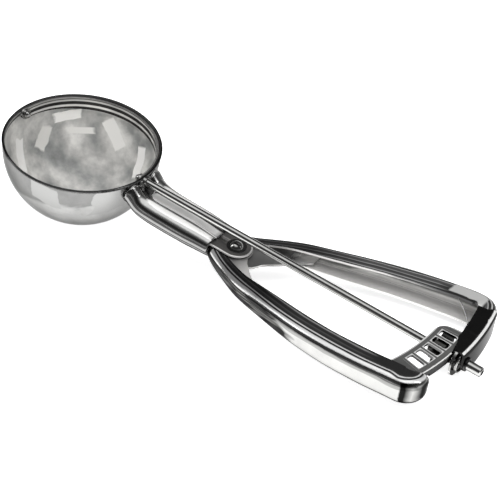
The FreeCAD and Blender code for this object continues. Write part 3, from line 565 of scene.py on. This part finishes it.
def table_at(tab, x):
    """Smooth interpolation of the rows of a table by their first value."""
    if x <= tab[0][0]:
        return tab[0][1:]
    if x >= tab[-1][0]:
        return tab[-1][1:]
    k = max(i for i in range(len(tab)) if tab[i][0] <= x)
    k = min(k, len(tab) - 2)
    a, b = tab[k], tab[k + 1]
    p = tab[k - 1] if k > 0 else a
    n = tab[k + 2] if k + 2 < len(tab) else b
    h = b[0] - a[0]
    f = (x - a[0]) / h
    res = []
    for i in range(1, len(a)):
        ma = (b[i] - p[i]) / (b[0] - p[0]) * h
        mb = (n[i] - a[i]) / (n[0] - a[0]) * h
        f2, f3 = f * f, f * f * f
        res.append((2 * f3 - 3 * f2 + 1) * a[i] + (f3 - 2 * f2 + f) * ma + (-2 * f3 + 3 * f2) * b[i] + (f3 - f2) * mb)
    return res


# neck: x, floor, tube centre y, tube centre z, tube radius
NECK = [
    (27.5, 1.3, 5.9, -2.3, 3.3), (29.5, 0.3, 5.85, -2.75, 3.3), (31.0, -1.6, 5.75, -4.1, 3.3),
    (32.6, -3.3, 5.6, -5.4, 3.3), (35.0, -4.25, 5.4, -6.4, 3.32), (38.5, -4.55, 5.2, -7.0, 3.35),
    (43.0, -4.6, 5.1, -7.3, 3.35), (55.0, -4.65, 5.0, -7.4, 3.3), (61.0, -5.1, 4.85, -7.45, 3.1),
    (65.8, -5.75, 4.75, -7.55, 2.85),
]
rows = []
NX = 84
for i in range(NX + 1):
    x = 27.5 + (65.8 - 27.5) * i / NX
    zf, yc, zc, r = table_at(NECK, x)
    half = []
    y_in = yc + r * math.cos(math.radians(138))
    z_in = zc + r * math.sin(math.radians(138))
    for j in range(15):
        f = j / 15.0
        y = y_in * f
        # floor that meets the tube; the step is smooth
        g = min(1.0, max(0.0, (y - 0.62 * y_in) / (0.38 * y_in)))
        g = g * g * (3 - 2 * g)
        half.append((y, zf + (z_in - zf) * g))
    for j in range(34):
        a = math.radians(138 - (138 + 152) * j / 33.0)
        half.append((yc + r * math.cos(a), zc + r * math.sin(a)))
    pts = []
    for sd in (-1, 1):
        seq = [(sd * y, z) for y, z in half]
        if sd < 0:
            pts += seq[::-1]
        else:
            pts += seq[1:]
    row = []
    for y, z in pts:
        # groove round the flat panel, with a round end at the bowl
        if abs(y) < 3.4 and z > zf - 1.2:
            dd = abs(y) if x > 36.2 else math.hypot((x - 36.2), y)
            z -= 0.42 * math.exp(-((dd - 2.05) / 0.42) ** 2)
        rr = 29.93
        lim = rr * rr - y * y - (z * z if z < 0 else 0.0)
        xx = max(x, math.sqrt(max(lim, 0.0)))
        row.append(T(xx, y, z))
    rows.append(row)
neck = grid("neck_pressed", rows, M_NECK, solid=(0.8, -1.0))

# tab with a rolled edge
TR = 5.6
edge = [(61.5 + 1.19 * k, -TR) for k in range(10)]
edge += [(73.4 + TR * math.sin(math.radians(a)), -TR * math.cos(math.radians(a))) for a in range(0, 181, 6)]
edge += [(61.5 + 1.19 * k, TR) for k in range(9, -1, -1)]
rows = []
for k, (inset, z) in enumerate([(0.0, -6.5), (0.0, -5.65), (0.25, -5.55), (0.7, -5.6), (1.6, -5.62), (3.0, -5.62), (5.59, -5.62)]):
    s = (TR - inset) / TR
    rows.append([T(73.4 + (x - 73.4) * s if x > 73.4 else x, y * s, z) for x, y in edge])
rows.append([T(max(min(x, 73.4), 61.5), 0.0, -6.5) for x, y in edge])
rows.append([T(x, y, -6.5) for x, y in edge])
tab = grid("neck_tab", rows, M_TAB)
roll = tube("neck_tab_roll", [T(x, y, -5.98) for x, y in edge], 0.42, M_ROLL, order=4)
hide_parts("neck_channel")

# return spring: a leg that turns with the shaft, close turns, arm to the fixed handle
leg = tube("spring_leg", [T(169.4, 0, -2.4), T(169.4, 0, -1.0), T(169.4, 0, 1.0), T(169.4, 0, 2.9), T(169.4, 0.1, 3.75),
                          T(169.42, 0.75, 4.12), T(169.42, 1.5, 3.95)], 0.23, M_WIRE, body="shaft", order=4, res=4)
pts = []
turns = 2.75
n = 100
for i in range(n + 1):
    f = i / n
    a = math.radians(90 + 18 - (360 * turns + 36) * f)
    pts.append(T(169.38 - 0.85 * f, 4.2 * math.cos(a), 4.2 * math.sin(a)))
pts += [T(168.5, 6.0, -1.75), T(168.4, 7.4, -1.4), T(166.4, 9.8, -0.5), T(163.4, 14.5, 0.9),
        T(158.0, 20.0, 2.4), T(151.6, 24.2, 3.9), T(149.9, 25.2, 4.1), T(149.2, 25.6, 3.6)]
spring = tube("spring_wire", pts, 0.23, M_WIRE, order=4, res=3)
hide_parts("return_spring")

# ------------------------------------------------------------ floor, light
fm = bpy.data.materials.new("floor_paper")
nt, p = nodes_of(fm)
tc = nt.nodes.new("ShaderNodeTexCoord")
nz = nt.nodes.new("ShaderNodeTexNoise")
nz.inputs["Scale"].default_value = 30.0
nt.links.new(tc.outputs["Object"], nz.inputs["Vector"])
cr = ramp(nt, [(0.3, (0.93, 0.93, 0.93)), (0.7, (0.95, 0.95, 0.95))])
nt.links.new(nz.outputs["Fac"], cr.inputs["Fac"])
nt.links.new(cr.outputs["Color"], p.inputs["Base Color"])
p.inputs["Roughness"].default_value = 0.9
p.inputs["Emission Color"].default_value = (1.0, 1.0, 1.0, 1.0)
p.inputs["Emission Strength"].default_value = 0.75
me = bpy.data.meshes.new("floor")
s = 3.0
me.from_pydata([(-s, -s, -0.0001), (s, -s, -0.0001), (s, s, -0.0001), (-s, s, -0.0001)], [], [(0, 1, 2, 3)])
floor = bpy.data.objects.new("floor", me)
me.materials.append(fm)
scene.collection.objects.link(floor)

world = bpy.data.worlds.new("studio")
scene.world = world
world.use_nodes = True
wn = world.node_tree
wn.nodes.clear()
out = wn.nodes.new("ShaderNodeOutputWorld")
bg = wn.nodes.new("ShaderNodeBackground")
wn.links.new(bg.outputs[0], out.inputs[0])
tc = wn.nodes.new("ShaderNodeTexCoord")
sx = wn.nodes.new("ShaderNodeSeparateXYZ")
wn.links.new(tc.outputs["Generated"], sx.inputs[0])
# by height of the direction: grey below, dark belt, pale shoulder, bright ceiling
mpn = wn.nodes.new("ShaderNodeTexNoise")
mpn.inputs["Scale"].default_value = 1.6
mpn.inputs["Detail"].default_value = 2.0
wn.links.new(tc.outputs["Generated"], mpn.inputs["Vector"])
ad = wn.nodes.new("ShaderNodeMath")
ad.operation = "MULTIPLY_ADD"
wn.links.new(mpn.outputs["Fac"], ad.inputs[0])
ad.inputs[1].default_value = 0.16
wn.links.new(sx.outputs["Z"], ad.inputs[2])
cr = ramp(wn, [(0.0, (0.75, 0.75, 0.75)), (0.22, (0.45, 0.45, 0.45)), (0.40, (0.16, 0.16, 0.16)),
               (0.62, (0.06, 0.06, 0.06)), (0.84, (0.10, 0.10, 0.10)), (0.93, (0.30, 0.30, 0.30)), (0.975, (1.0, 1.0, 1.0)),
               (1.0, (1.15, 1.15, 1.15))])
wn.links.new(ad.outputs[0], cr.inputs["Fac"])
wn.links.new(cr.outputs["Color"], bg.inputs["Color"])
bg.inputs["Strength"].default_value = 1.0


def area(name, loc, target, size, power, size_y=None, glossy=True):
    d = bpy.data.lights.new(name, "AREA")
    d.energy = power
    d.size = size
    if size_y:
        d.shape = "RECTANGLE"
        d.size_y = size_y
    o = bpy.data.objects.new(name, d)
    scene.collection.objects.link(o)
    loc, target = Vector(loc), Vector(target)
    o.matrix_world = Matrix.Translation(loc) @ (target - loc).to_track_quat("-Z", "Y").to_matrix().to_4x4()
    o.visible_glossy = glossy
    return o


area("floor_wash", (0.0, 0.1, 1.6), (0, 0, 0), 2.4, 24.0, glossy=False)
area("window_left", (-1.1, -0.5, 0.75), (-0.05, 0, 0.02), 0.35, 3.0, size_y=0.9)
area("front_fill", (0.55, -0.95, 0.30), (0.0, 0.0, 0.0), 0.7, 7.0, glossy=False)
area("window_right", (1.0, 0.35, 0.9), (0, 0, 0.02), 0.3, 2.5, size_y=0.7)

scene.view_settings.view_transform = "Standard"
scene.view_settings.look = "None"
